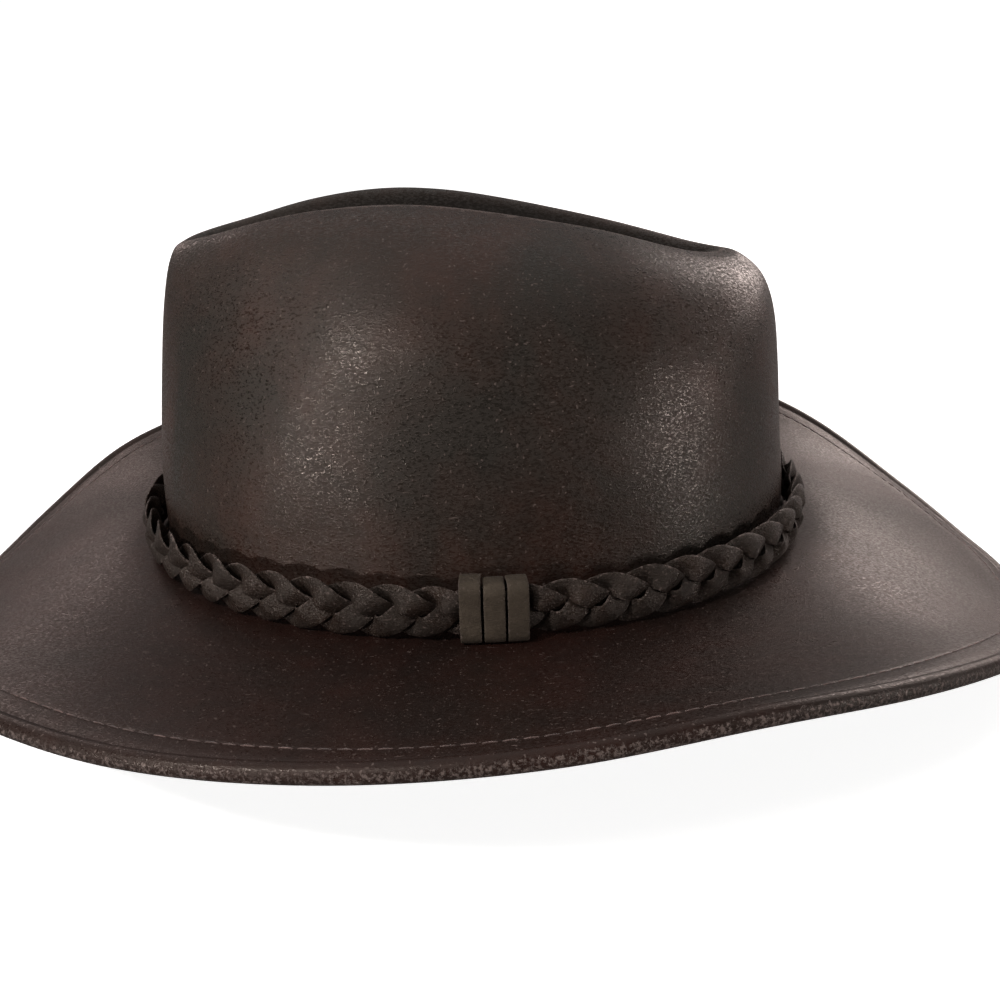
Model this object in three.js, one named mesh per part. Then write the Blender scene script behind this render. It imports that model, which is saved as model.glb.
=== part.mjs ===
import * as THREE from 'three';
import { mergeVertices } from 'three/addons/utils/BufferGeometryUtils.js';

// A leather bush hat, resting on a level surface by the front and back of its brim.
// Millimetres, +Z up. The front is towards -Y and the wearer's left towards +X. The origin lies on
// the surface, under the middle of the head. Angles run round the hat: 0 is the back, 90 the
// wearer's left and 180 the front. Both sides of the hat are alike, apart from its shallow dents.

// Leather
const crownWall = 2.0;
const brimWall = 2.2;
const hemWall = 1.6;
const wrapWall = 1.2;
const restGap = 0.3;

// Head: the outside of the crown wall just above its foot
const headHalfLength = 102.6;
const headHalfWidth = 86.3;
const crownHeight = 106.3;
const footHeight = 9.3;
const flangeReach = 2.2;

// Ridge and crease of the crown: how far the wall leans in by the ridge's front and back, and how
// far the crease's floor ends inside the ridge
const frontLean = 14.5;
const backLean = 21.5;
const creaseSetback = 19.6;

// Brim: its reach from the head to the middle of the rolled edge, at the ends and at the sides
const endReach = 79.4;
const sideReach = 81.2;
const brimSeat = 28.4;
const edgeRadius = 2.5;
const hemReach = 10;
const squashDepth = 0.6;

// Braided band: pitch and swing are shares of a lace's width, depth of its thickness
const laceWidth = 6.2;
const laceThickness = 1.8;
const laceEndGap = 0.5;
const pitchShare = 5.52;
const swingShare = 0.807;
const depthShare = 1.14;

// Keeper
const keeperOffset = 6;
const keeperPinch = 0.12;
const keeperEaseLength = 22;
const wrapWidth = 5.7;
const wrapGap = 0.45;
const wrapCorner = 1.6;

// Fineness
const crownColumns = 48;
const brimColumns = 56;
const stepsPerPitch = 10;
const cornerSteps = 2;
const pathSteps = 720;
const mergeDistance = 1e-4;

// Crown wall from the top of its foot to the ridge: height is the share of the way up, and the
// other columns say how far the wall has come in towards the ridge, at the front, side and back.
const wallTable = [
  { height: 0.0, front: 0.0, side: 0.0, back: 0.0 },
  { height: 0.16, front: 0.025, side: 0.015, back: 0.03 },
  { height: 0.32, front: 0.11, side: 0.05, back: 0.09 },
  { height: 0.48, front: 0.22, side: 0.11, back: 0.13 },
  { height: 0.62, front: 0.33, side: 0.185, back: 0.175 },
  { height: 0.74, front: 0.44, side: 0.305, back: 0.225 },
  { height: 0.84, front: 0.55, side: 0.48, back: 0.31 },
  { height: 0.915, front: 0.66, side: 0.655, back: 0.45 },
  { height: 0.965, front: 0.78, side: 0.81, back: 0.66 },
  { height: 0.99, front: 0.89, side: 0.915, back: 0.83 },
  { height: 1.0, front: 1.0, side: 1.0, back: 1.0 },
];

// Foot of the crown: reach is the share of the flange's reach, rise the share of the foot's height.
const footTable = [
  { reach: 1.0, rise: 0.0 },
  { reach: 0.45, rise: 0.0 },
  { reach: 0.12, rise: 0.18 },
];

// Round the ridge: spacing is a share of the head's half width, ridge and floor are shares of the
// crown's height.
const ridgeTable = [
  { angle: 0, spacing: 0.105, ridge: 0.822, floor: 0.755 },
  { angle: 30, spacing: 0.214, ridge: 0.833, floor: 0.74 },
  { angle: 60, spacing: 0.256, ridge: 0.912, floor: 0.765 },
  { angle: 90, spacing: 0.291, ridge: 0.988, floor: 0.8 },
  { angle: 105, spacing: 0.312, ridge: 1.0, floor: 0.8 },
  { angle: 120, spacing: 0.292, ridge: 0.985, floor: 0.785 },
  { angle: 150, spacing: 0.256, ridge: 0.921, floor: 0.74 },
  { angle: 180, spacing: 0.262, ridge: 0.893, floor: 0.745 },
];

// Crease wall from the ridge to the floor of the crease: in and down are shares of the way.
const creaseTable = [
  { inward: 0.16, down: 0.05 },
  { inward: 0.36, down: 0.3 },
  { inward: 0.6, down: 0.66 },
  { inward: 0.82, down: 0.92 },
  { inward: 1.0, down: 1.0 },
];

// Dents of the crown wall, which fade out at the ridge by this power of the height: along is a share of the head's half length, height a share of the
// crown's height, radius and depth shares of the head's half width. Side is 0 where both sides
// have the dent.
const dentFade = 8;
const dentTable = [
  { side: 0, along: -0.47, height: 0.86, radius: 0.3, depth: 0.05 },
  { side: 1, along: 0.2, height: 0.66, radius: 0.26, depth: 0.02 },
  { side: -1, along: -0.1, height: 0.55, radius: 0.3, depth: 0.016 },
];

// Underside of the brim's edge round the hat, as shares of the brim's seat.
const edgeTable = [
  { angle: 0, height: 0.0 },
  { angle: 6.5, height: 0.0 },
  { angle: 12, height: 0.049 },
  { angle: 18, height: 0.155 },
  { angle: 25, height: 0.331 },
  { angle: 40, height: 0.859 },
  { angle: 55, height: 1.218 },
  { angle: 70, height: 1.419 },
  { angle: 85, height: 1.335 },
  { angle: 100, height: 1.215 },
  { angle: 115, height: 1.102 },
  { angle: 130, height: 1.018 },
  { angle: 145, height: 0.782 },
  { angle: 157, height: 0.359 },
  { angle: 162, height: 0.204 },
  { angle: 168, height: 0.06 },
  { angle: 173.5, height: 0.0 },
  { angle: 180, height: 0.0 },
];

// Stations across the brim from its seat to the hem's inner edge, as shares of that way.
const brimStations = [0.0, 0.22, 0.42, 0.6, 0.76, 0.9, 1.0];
const brimCurl = 1.5;

// Points round the rolled edge, in degrees from straight out, over the top and down to the hem.
const rollAngles = [140, 108, 75, 38, 0, -36, -72, -108, -140];

// Groove behind the bead on both faces: inward in edge radii, half as a share of the leather's
// half thickness.
const groove = { inward: 1.15, half: 0.92 };

// Loops of the keeper from the front to the back: rise is a share of the lace's width.
const wrapTable = [
  { place: -1, rise: 0.14 },
  { place: 0, rise: 0.0 },
  { place: 1, rise: 0.04 },
];

const finishes = {
  crown: { color: '#352b26', roughness: 0.6, metalness: 0 },
  brim: { color: '#33251f', roughness: 0.65, metalness: 0 },
  band: { color: '#2f2723', roughness: 0.7, metalness: 0 },
  keeper: { color: '#40362e', roughness: 0.8, metalness: 0 },
};

// Sizes that follow from those above
const ridgeHalfLength = headHalfLength - (frontLean + backLean) / 2;
const ridgeShift = (frontLean - backLean) / 2;
const creaseHalfLength = ridgeHalfLength - creaseSetback;
const crownFoot = brimSeat + restGap;
const brimHalfLength = headHalfLength + endReach;
const brimHalfWidth = headHalfWidth + sideReach;
const braidPitch = laceWidth * pitchShare;
const braidSwing = laceWidth * swingShare;
const braidDepth = laceThickness * depthShare;
const braidHalf = braidSwing + laceWidth / 2;
const keeperHalfDepth = braidDepth + laceThickness / 2 + restGap;
const keeperDepth = 2 * (keeperHalfDepth + wrapWall);
const seatWidth = crownWall + flangeReach + keeperDepth;
const bandHalfLength = headHalfLength + flangeReach + restGap + braidDepth;
const bandHalfWidth = headHalfWidth + flangeReach + restGap + keeperDepth / 2;

const mirrored = (angle) => {
  const turn = THREE.MathUtils.euclideanModulo(angle, 360);
  return turn > 180 ? 360 - turn : turn;
};

// Smooth value of a column at a key, level at both ends of the table.
function lookUp(table, key, column, at) {
  const last = table.length - 1;
  const slope = (index) => {
    if (index === 0 || index === last) return 0;
    const [before, after] = [table[index - 1], table[index + 1]];
    return (after[column] - before[column]) / (after[key] - before[key]);
  };
  const found = table.findIndex((row) => row[key] >= at);
  const upper = Math.max(1, found < 0 ? last : found);
  const [low, high] = [table[upper - 1], table[upper]];
  const span = high[key] - low[key];
  const share = THREE.MathUtils.clamp((at - low[key]) / span, 0, 1);
  const square = share * share;
  const cube = square * share;
  return (2 * cube - 3 * square + 1) * low[column]
    + (cube - 2 * square + share) * span * slope(upper - 1)
    + (3 * square - 2 * cube) * high[column]
    + (cube - square) * span * slope(upper);
}

// Point of an oval in plan, at an angle round the hat.
function ovalPoint(halfLength, halfWidth, shift, angle, height) {
  const turn = THREE.MathUtils.degToRad(angle);
  return new THREE.Vector3(halfWidth * Math.sin(turn), shift + halfLength * Math.cos(turn), height);
}

const columnAngles = (count) => Array.from({ length: count }, (_, index) => (360 * index) / count);

// Closed solid through rows of points. The columns close round; the rows close too when they
// form a ring, and otherwise each end either closes on itself or gets a flat cap.
function latticeGeometry(rows, { ring = false, caps = false } = {}) {
  const columns = rows[0].length;
  const triangles = [];
  const steps = ring ? rows.length : rows.length - 1;
  for (let row = 0; row < steps; row += 1) {
    const next = (row + 1) % rows.length;
    for (let column = 0; column < columns; column += 1) {
      const beside = (column + 1) % columns;
      const near = [row * columns + column, row * columns + beside];
      const far = [next * columns + column, next * columns + beside];
      triangles.push([near[0], near[1], far[1]], [near[0], far[1], far[0]]);
    }
  }
  if (caps) {
    const end = (rows.length - 1) * columns;
    for (let column = 1; column < columns - 1; column += 1) {
      triangles.push([0, column + 1, column], [end, end + column, end + column + 1]);
    }
  }
  const loose = new THREE.BufferGeometry();
  const coordinates = rows.flat().flatMap((point) => point.toArray());
  loose.setAttribute('position', new THREE.Float32BufferAttribute(coordinates, 3));
  loose.setIndex(triangles.flat());
  const merged = mergeVertices(loose, mergeDistance);
  const index = Array.from(merged.index.array);
  const whole = [];
  for (let first = 0; first < index.length; first += 3) {
    const [a, b, c] = index.slice(first, first + 3);
    if (a !== b && b !== c && c !== a) whole.push([a, b, c]);
  }
  const position = merged.getAttribute('position');
  const corner = (place) => new THREE.Vector3().fromBufferAttribute(position, place);
  const volume = whole.reduce((sum, [a, b, c]) => sum + corner(a).dot(corner(b).cross(corner(c))), 0);
  merged.setIndex(whole.flatMap(([a, b, c]) => (volume > 0 ? [a, b, c] : [a, c, b])));
  merged.computeVertexNormals();
  return merged;
}

// Rows moved inwards by a wall, along the normals of the surface that the rows make.
function insetRows(rows, wall) {
  const columns = rows[0].length;
  return rows.map((points, row) => points.map((point, column) => {
    const around = rows[row][(column + 1) % columns].clone();
    around.sub(rows[row][(column + columns - 1) % columns]);
    const seam = row === rows.length - 1;
    const below = rows[Math.max(0, row - 1)][column];
    const above = seam ? rows[row - 1][(columns - column) % columns] : rows[row + 1][column];
    const upward = above.clone().sub(below);
    const normal = upward.cross(around).normalize();
    return point.clone().addScaledVector(normal, -wall);
  }));
}

// How far a point of the crown wall is pressed in.
function dentDepth(point) {
  return dentTable.reduce((sum, dent) => {
    if (dent.side * point.x < 0) return sum;
    const along = point.y - dent.along * headHalfLength;
    const rise = point.z - crownFoot - dent.height * crownHeight;
    const radius = dent.radius * headHalfWidth;
    const depth = dent.depth * headHalfWidth;
    return sum + depth * Math.exp(-(along * along + rise * rise) / (radius * radius));
  }, 0);
}

function crownGeometry() {
  const angles = columnAngles(crownColumns);
  const rows = footTable.map((foot) => angles.map((angle) => {
    const reach = foot.reach * flangeReach;
    const rise = crownWall + foot.rise * (footHeight - crownWall);
    return ovalPoint(headHalfLength + reach, headHalfWidth + reach, 0, angle, crownFoot + rise);
  }));

  const ridge = angles.map((angle) => {
    const turn = mirrored(angle);
    const across = headHalfWidth * lookUp(ridgeTable, 'angle', 'spacing', turn);
    const height = crownFoot + crownHeight * lookUp(ridgeTable, 'angle', 'ridge', turn);
    const point = ovalPoint(ridgeHalfLength, 0, ridgeShift, angle, height);
    const wave = Math.sin(THREE.MathUtils.degToRad(angle));
    point.x = across * Math.sign(wave) * Math.sqrt(Math.abs(wave));
    return point;
  });

  wallTable.forEach((level) => rows.push(angles.map((angle, column) => {
    const turn = THREE.MathUtils.degToRad(angle);
    const sideways = Math.sin(turn) ** 2;
    const end = Math.cos(turn) > 0 ? level.back : level.front;
    const inward = THREE.MathUtils.lerp(end, level.side, sideways);
    const foot = ovalPoint(headHalfLength, headHalfWidth, 0, angle, crownFoot + footHeight);
    const top = ridge[column];
    const point = foot.clone().lerp(top, inward);
    point.z = THREE.MathUtils.lerp(foot.z, top.z, level.height);
    const depth = (1 - level.height ** dentFade) * dentDepth(point);
    point.x -= Math.sign(point.x) * Math.min(Math.abs(point.x), depth);
    return point;
  })));

  creaseTable.forEach((level) => rows.push(angles.map((angle, column) => {
    const height = crownFoot + crownHeight * lookUp(ridgeTable, 'angle', 'floor', mirrored(angle));
    const floor = ovalPoint(creaseHalfLength, 0, ridgeShift, angle, height);
    const point = ridge[column].clone().lerp(floor, level.inward);
    point.z = THREE.MathUtils.lerp(ridge[column].z, floor.z, level.down);
    return point;
  })));

  return latticeGeometry([...rows.slice().reverse(), ...insetRows(rows, crownWall)]);
}

// Height of the middle of the rolled edge at an angle.
function edgeMiddle(angle) {
  const height = brimSeat * lookUp(edgeTable, 'angle', 'height', mirrored(angle));
  return Math.max(height, 0) + edgeRadius - squashDepth * Math.exp(-height / edgeRadius);
}

function brimSection(angle) {
  const innerLength = headHalfLength - crownWall + restGap;
  const innerWidth = headHalfWidth - crownWall + restGap;
  const inner = ovalPoint(innerLength, innerWidth, 0, angle, 0);
  const seat = ovalPoint(innerLength + seatWidth, innerWidth + seatWidth, 0, angle, 0);
  const rim = ovalPoint(brimHalfLength, brimHalfWidth, 0, angle, 0);
  const outward = rim.clone().sub(seat);
  const reach = outward.length();
  outward.normalize();
  const back = seat.clone().sub(inner).dot(outward);
  const middle = edgeMiddle(angle);
  const cover = (brimWall + hemWall) / 2;
  const lift = (share) => brimSeat + (middle + cover - brimSeat) * share ** brimCurl;
  const tilt = Math.atan(((middle + cover - brimSeat) * brimCurl) / reach);
  const hemShare = (reach - hemReach) / reach;

  const top = [{ out: -back, up: brimSeat, tilt: 0 }];
  brimStations.forEach((station) => {
    const share = station * hemShare;
    const slope = ((middle + cover - brimSeat) * brimCurl * share ** (brimCurl - 1)) / reach;
    top.push({ out: share * reach, up: lift(share), tilt: Math.atan(slope) });
  });
  const under = top.map((point) => ({
    out: point.out + brimWall * Math.sin(point.tilt),
    up: point.up - brimWall * Math.cos(point.tilt),
  }));
  const local = (out, up) => ({
    out: reach + out * Math.cos(tilt) - up * Math.sin(tilt),
    up: middle + out * Math.sin(tilt) + up * Math.cos(tilt),
  });
  const roll = rollAngles.map((degrees) => {
    const turn = THREE.MathUtils.degToRad(degrees);
    return local(edgeRadius * Math.cos(turn), edgeRadius * Math.sin(turn));
  });
  const hem = top[top.length - 1];
  const hemEnd = {
    out: hem.out + (brimWall + hemWall) * Math.sin(hem.tilt),
    up: hem.up - (brimWall + hemWall) * Math.cos(hem.tilt),
  };
  const dip = local(-edgeRadius * groove.inward, cover * groove.half);
  const tuck = local(-edgeRadius * groove.inward, -cover * groove.half);
  const section = [...top, dip, ...roll, tuck, hemEnd, ...under.reverse()];
  return section.map((point) => {
    const place = seat.clone().addScaledVector(outward, point.out);
    place.z = Math.max(point.up, 0);
    return place;
  });
}

const brimGeometry = () => latticeGeometry(columnAngles(brimColumns).map(brimSection), { ring: true });

// Middle line of the band, starting under the keeper and running towards the back.
class BandPath extends THREE.Curve {
  getPoint(share, target = new THREE.Vector3()) {
    const start = THREE.MathUtils.radToDeg(Math.acos(keeperOffset / bandHalfLength));
    const height = crownFoot + braidHalf;
    return target.copy(ovalPoint(bandHalfLength, bandHalfWidth, 0, start - 360 * share, height));
  }
}

const bandPath = new BandPath();
bandPath.arcLengthDivisions = pathSteps;
const bandLength = bandPath.getLength();
const pitches = Math.round(bandLength / braidPitch);

// Directions of the band at a share of its length: along it, out of the hat and up.
function bandFrame(share) {
  const around = THREE.MathUtils.euclideanModulo(share, 1);
  const point = bandPath.getPointAt(around);
  const along = bandPath.getTangentAt(around).setZ(0).normalize();
  const up = new THREE.Vector3(0, 0, 1);
  return { point, along, up, out: along.clone().cross(up).multiplyScalar(-1) };
}

// How much the keeper pinches the braid at a share of the band's length, from 0 to 1.
function pinchAt(share) {
  const away = Math.min(share, 1 - share) * bandLength;
  return Math.exp(-((away / keeperEaseLength) ** 2));
}

function strandGeometry(strand) {
  const endShare = laceEndGap / bandLength;
  const steps = pitches * stepsPerPitch;
  const rows = [];
  for (let step = 0; step <= steps; step += 1) {
    const share = THREE.MathUtils.lerp(endShare, 1 - endShare, step / steps);
    const { point, along, up, out } = bandFrame(share);
    const pinch = pinchAt(share);
    const spread = 1 - keeperPinch * pinch;
    point.z += pinch * (wrapWall + restGap - keeperPinch * braidHalf);
    const phase = 2 * Math.PI * (pitches * share + strand / 3);
    const swing = braidSwing * spread;
    const run = bandLength / pitches / (2 * Math.PI);
    const climb = swing * Math.cos(phase);
    const across = up.clone().multiplyScalar(run).addScaledVector(along, -climb).normalize();
    const middle = point.addScaledVector(up, swing * Math.sin(phase));
    middle.addScaledVector(out, braidDepth * Math.sin(2 * phase));
    const half = (laceWidth * spread) / 2;
    rows.push([
      middle.clone().addScaledVector(across, half),
      middle.clone().addScaledVector(out, laceThickness / 2),
      middle.clone().addScaledVector(across, -half),
      middle.clone().addScaledVector(out, -laceThickness / 2),
    ]);
  }
  return latticeGeometry(rows, { caps: true });
}

// Outline of a keeper loop, seen along the band: a rectangle with round corners.
function roundedOutline(path, halfDepth, low, high, corner) {
  path.absarc(halfDepth - corner, high - corner, corner, 0, Math.PI / 2);
  path.absarc(corner - halfDepth, high - corner, corner, Math.PI / 2, Math.PI);
  path.absarc(corner - halfDepth, low + corner, corner, Math.PI, Math.PI * 1.5);
  path.absarc(halfDepth - corner, low + corner, corner, Math.PI * 1.5, Math.PI * 2);
  return path;
}

function wrapMesh({ place, rise }, material) {
  const low = wrapWall;
  const high = low + 2 * (1 - keeperPinch) * braidHalf + 2 * restGap + rise * laceWidth;
  const outline = new THREE.Shape();
  roundedOutline(outline, keeperDepth / 2, low - wrapWall, high + wrapWall, wrapCorner + wrapWall);
  outline.holes.push(roundedOutline(new THREE.Path(), keeperHalfDepth, low, high, wrapCorner));
  const geometry = new THREE.ExtrudeGeometry(outline, {
    depth: wrapWidth,
    bevelEnabled: false,
    curveSegments: cornerSteps,
  });
  geometry.translate(0, 0, -wrapWidth / 2);
  const { point, up, out } = bandFrame((place * (wrapWidth + wrapGap)) / bandLength);
  point.z = crownFoot;
  const mesh = new THREE.Mesh(geometry, material);
  const turn = new THREE.Matrix4().makeBasis(out, up, out.clone().cross(up));
  mesh.quaternion.setFromRotationMatrix(turn);
  mesh.position.copy(point);
  return mesh;
}

const leather = (finish) => new THREE.MeshStandardMaterial(finish);

function named(mesh, name) {
  mesh.name = name;
  return mesh;
}

const hat = new THREE.Group();
hat.add(named(new THREE.Mesh(crownGeometry(), leather(finishes.crown)), 'crown'));
hat.add(named(new THREE.Mesh(brimGeometry(), leather(finishes.brim)), 'brim'));
[0, 1, 2].forEach((strand) => {
  const mesh = new THREE.Mesh(strandGeometry(strand), leather(finishes.band));
  hat.add(named(mesh, `band_strand_${strand + 1}`));
});
wrapTable.forEach((wrap, index) => {
  hat.add(named(wrapMesh(wrap, leather(finishes.keeper)), `keeper_wrap_${index + 1}`));
});

export default hat;
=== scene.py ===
import math
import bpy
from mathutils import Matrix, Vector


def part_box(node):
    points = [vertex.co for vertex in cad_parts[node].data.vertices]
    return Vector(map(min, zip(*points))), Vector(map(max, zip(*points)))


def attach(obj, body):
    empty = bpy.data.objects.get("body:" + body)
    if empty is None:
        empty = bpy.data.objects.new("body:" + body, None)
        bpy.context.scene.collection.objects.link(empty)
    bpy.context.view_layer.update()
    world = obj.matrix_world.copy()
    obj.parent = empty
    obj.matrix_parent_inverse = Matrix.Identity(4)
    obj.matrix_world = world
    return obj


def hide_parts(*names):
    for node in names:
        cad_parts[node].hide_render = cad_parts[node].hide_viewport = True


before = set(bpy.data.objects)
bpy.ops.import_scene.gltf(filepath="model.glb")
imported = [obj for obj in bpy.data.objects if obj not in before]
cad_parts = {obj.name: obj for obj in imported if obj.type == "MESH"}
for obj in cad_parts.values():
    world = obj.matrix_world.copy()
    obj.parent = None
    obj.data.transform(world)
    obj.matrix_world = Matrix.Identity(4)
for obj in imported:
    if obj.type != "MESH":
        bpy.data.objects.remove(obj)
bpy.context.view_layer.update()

from types import SimpleNamespace

import bmesh
import bpy
from mathutils import Matrix, Vector, noise

bl_info = {
    "name": "Leather Bush Hat",
    "version": (1, 0, 0),
    "blender": (4, 5, 0),
    "location": "3D Viewport > Sidebar > Bush Hat",
    "description": "A leather bush hat with a creased crown, a stitched brim and a braided band",
    "category": "Object",
}

# Metres, +Z up. The front of the hat is towards -Y and the wearer's left towards +X. Angles run
# round the hat in degrees: 0 is the back, 90 the wearer's left and 180 the front.
MM = 0.001
CROWN_LOW, CROWN_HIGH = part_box("crown")
BRIM_LOW, BRIM_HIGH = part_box("brim")
STRANDS = ("band_strand_1", "band_strand_2", "band_strand_3")
WRAPS = ("keeper_wrap_1", "keeper_wrap_2", "keeper_wrap_3")


def rows(columns, *values):
    """A table as dictionaries, one for each row, with named columns."""
    return [dict(zip(columns.split(), row)) for row in values]


# Crown wall from its foot to the ridge: height is the share of the way up, and the others how far
# the wall has come in towards the ridge at the front, side and back.
WALL_TABLE = rows(
    "height front side back",
    (0.0, 0.0, 0.0, 0.0),
    (0.16, 0.025, 0.015, 0.03),
    (0.32, 0.11, 0.05, 0.09),
    (0.48, 0.22, 0.11, 0.13),
    (0.62, 0.33, 0.185, 0.175),
    (0.74, 0.44, 0.305, 0.225),
    (0.84, 0.55, 0.48, 0.31),
    (0.915, 0.66, 0.655, 0.45),
    (0.965, 0.78, 0.81, 0.66),
    (0.99, 0.89, 0.915, 0.83),
    (1.0, 1.0, 1.0, 1.0),
)
WALL_LEVELS = (
    0.0, 0.06, 0.12, 0.18, 0.25, 0.32, 0.4, 0.48, 0.55, 0.62, 0.68, 0.74, 0.79, 0.84, 0.88,
    0.915, 0.943, 0.965, 0.98, 0.99, 0.997, 1.0,
)

# Foot of the crown: reach as a share of the flange, rise as a share of the foot's height.
FOOT_TABLE = rows("reach rise", (1.0, 0.0), (0.75, 0.0), (0.45, 0.0), (0.12, 0.18), (0.02, 0.55))

# Round the ridge: spacing as a share of the head's half width, ridge and floor of the crown's height.
RIDGE_TABLE = rows(
    "angle spacing ridge floor",
    (0, 0.105, 0.822, 0.755),
    (30, 0.214, 0.833, 0.74),
    (60, 0.256, 0.912, 0.765),
    (90, 0.291, 0.988, 0.8),
    (105, 0.312, 1.0, 0.8),
    (120, 0.292, 0.985, 0.785),
    (150, 0.256, 0.921, 0.74),
    (180, 0.262, 0.893, 0.745),
)

# Crease wall from the ridge to the floor of the crease.
CREASE_TABLE = rows(
    "inward down",
    (0.0, 0.0), (0.16, 0.05), (0.36, 0.3), (0.6, 0.66), (0.82, 0.92), (1.0, 1.0),
)
CREASE_LEVELS = (0.05, 0.1, 0.16, 0.25, 0.36, 0.48, 0.6, 0.71, 0.82, 0.91, 1.0)

# Soft dents (positive depth) and bulges of the crown: along as a share of the head's half length,
# height of the crown's height, radius and depth of the head's half width. Side 0 is both sides.
DENT_FADE = 8
DENT_TABLE = rows(
    "side along height radius depth",
    (0, -0.47, 0.86, 0.3, 0.05),
    (1, 0.2, 0.66, 0.26, 0.02),
    (-1, -0.1, 0.55, 0.3, 0.016),
    (1, -0.42, 0.17, 0.2, -0.02),
    (1, 0.4, 0.17, 0.22, -0.02),
    (1, -0.37, 0.63, 0.19, -0.017),
    (1, 0.02, 0.66, 0.12, -0.006),
    (1, 0.62, 0.7, 0.16, -0.01),
    (-1, 0.3, 0.2, 0.24, -0.012),
    (-1, -0.4, 0.3, 0.2, -0.01),
)

# Underside of the brim's edge round the hat, as shares of the height of the brim's seat.
EDGE_TABLE = rows(
    "angle height",
    (0, 0.0), (6.5, 0.0), (12, 0.049), (18, 0.155), (25, 0.331), (40, 0.859), (55, 1.218),
    (70, 1.419), (85, 1.335), (100, 1.215), (115, 1.102), (130, 1.018), (145, 0.782),
    (157, 0.359), (162, 0.204), (168, 0.06), (173.5, 0.0), (180, 0.0),
)

# The brim: how fast its upper face falls towards the edge, its stations from the seat to the hem,
# and the turns of its rolled edge in degrees.
BRIM_CURL = 1.5
BRIM_STATIONS = (0.0, 0.07, 0.15, 0.24, 0.33, 0.42, 0.51, 0.6, 0.68, 0.76, 0.83, 0.9, 0.96, 1.0)
ROLL_ANGLES = (148, 126, 104, 82, 60, 38, 16, -6, -28, -50, -72, -94, -118, -142)

# Turns of the rolled edge between which it is scuffed, and those over which that starts and ends.
SCUFF_FROM, SCUFF_TO = 34, -75
SCUFF_START, SCUFF_END = 14, 40

# Brim's upper face between the hem's inner edge and the bead: inward from the bead's middle line
# and rise above the face, in millimetres. The stitches lie in the dip.
STITCH_INWARD = 9.0
STITCH_ROW = 2
EDGE_FACE = rows(
    "inward rise",
    (9.75, 0.0), (9.3, -0.08), (9.0, -0.2), (8.7, -0.08), (8.2, 0.0), (6.2, 0.0), (4.5, -0.04),
    (3.5, -0.2), (2.9, -0.32),
)

# Underside of the turned hem: inward from the bead's middle line in millimetres, and down as a
# share of the brim's half thickness there. Then its inner end, with how worn it is.
HEM_TABLE = rows("inward down", (2.9, 0.9), (4.2, 0.99), (7.0, 1.0), (9.4, 1.0))
HEM_LIP, HEM_SHIFT = 0.25 * MM, 0.1 * MM
HEM_WEAR, LIP_WEAR = 0.5, 0.2

# Outline of a lace's section: across as a share of its half width, out of its half thickness.
LACE_OUTLINE = rows(
    "across out",
    (1.0, 0.0), (0.95, 0.34), (0.76, 0.66), (0.42, 0.92), (0.0, 1.0), (-0.42, 0.92), (-0.76, 0.66),
    (-0.95, 0.34), (-1.0, 0.0), (-0.9, -0.34), (-0.5, -0.66), (0.0, -0.8), (0.5, -0.66),
    (0.9, -0.34),
)

# Outline of a keeper strip's section: across as a share of its half width, out of its half wall.
STRIP_OUTLINE = rows(
    "across out",
    (1.0, 0.0), (0.99, 0.6), (0.93, 0.95), (0.5, 1.04), (0.0, 1.06), (-0.5, 1.04), (-0.93, 0.95),
    (-0.99, 0.6), (-1.0, 0.0), (-0.97, -0.8), (-0.5, -1.0), (0.5, -1.0), (0.97, -0.8),
)

# Keeper strips from front to back: place along the band, and rise of the strip's top as a share of
# a lace's width.
WRAP_TABLE = rows("place rise", (-1, 0.14), (0, 0.0), (1, 0.04))

# One stitch: the sides of its section and its lift as a share of its radius. Then from end to end:
# along as a share of its half length, up and thick of its radius.
STITCH_SIDES, STITCH_LIFT = 6, 0.4
STITCH_TABLE = rows(
    "along up thick",
    (-1.0, -2.2, 0.55), (-0.86, -0.2, 0.9), (-0.3, 0.35, 1.0), (0.3, 0.35, 1.0), (0.86, -0.2, 0.9),
    (1.0, -2.2, 0.55),
)


def length(name, description, default):
    """A size in metres that a user can change."""
    return bpy.props.FloatProperty(
        name=name, description=description, default=default, unit="LENGTH", precision=5
    )


def colour(name, description, default):
    """A linear colour that a user can change."""
    return bpy.props.FloatVectorProperty(
        name=name, description=description, default=default, subtype="COLOR", size=3, min=0, max=1
    )


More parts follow.
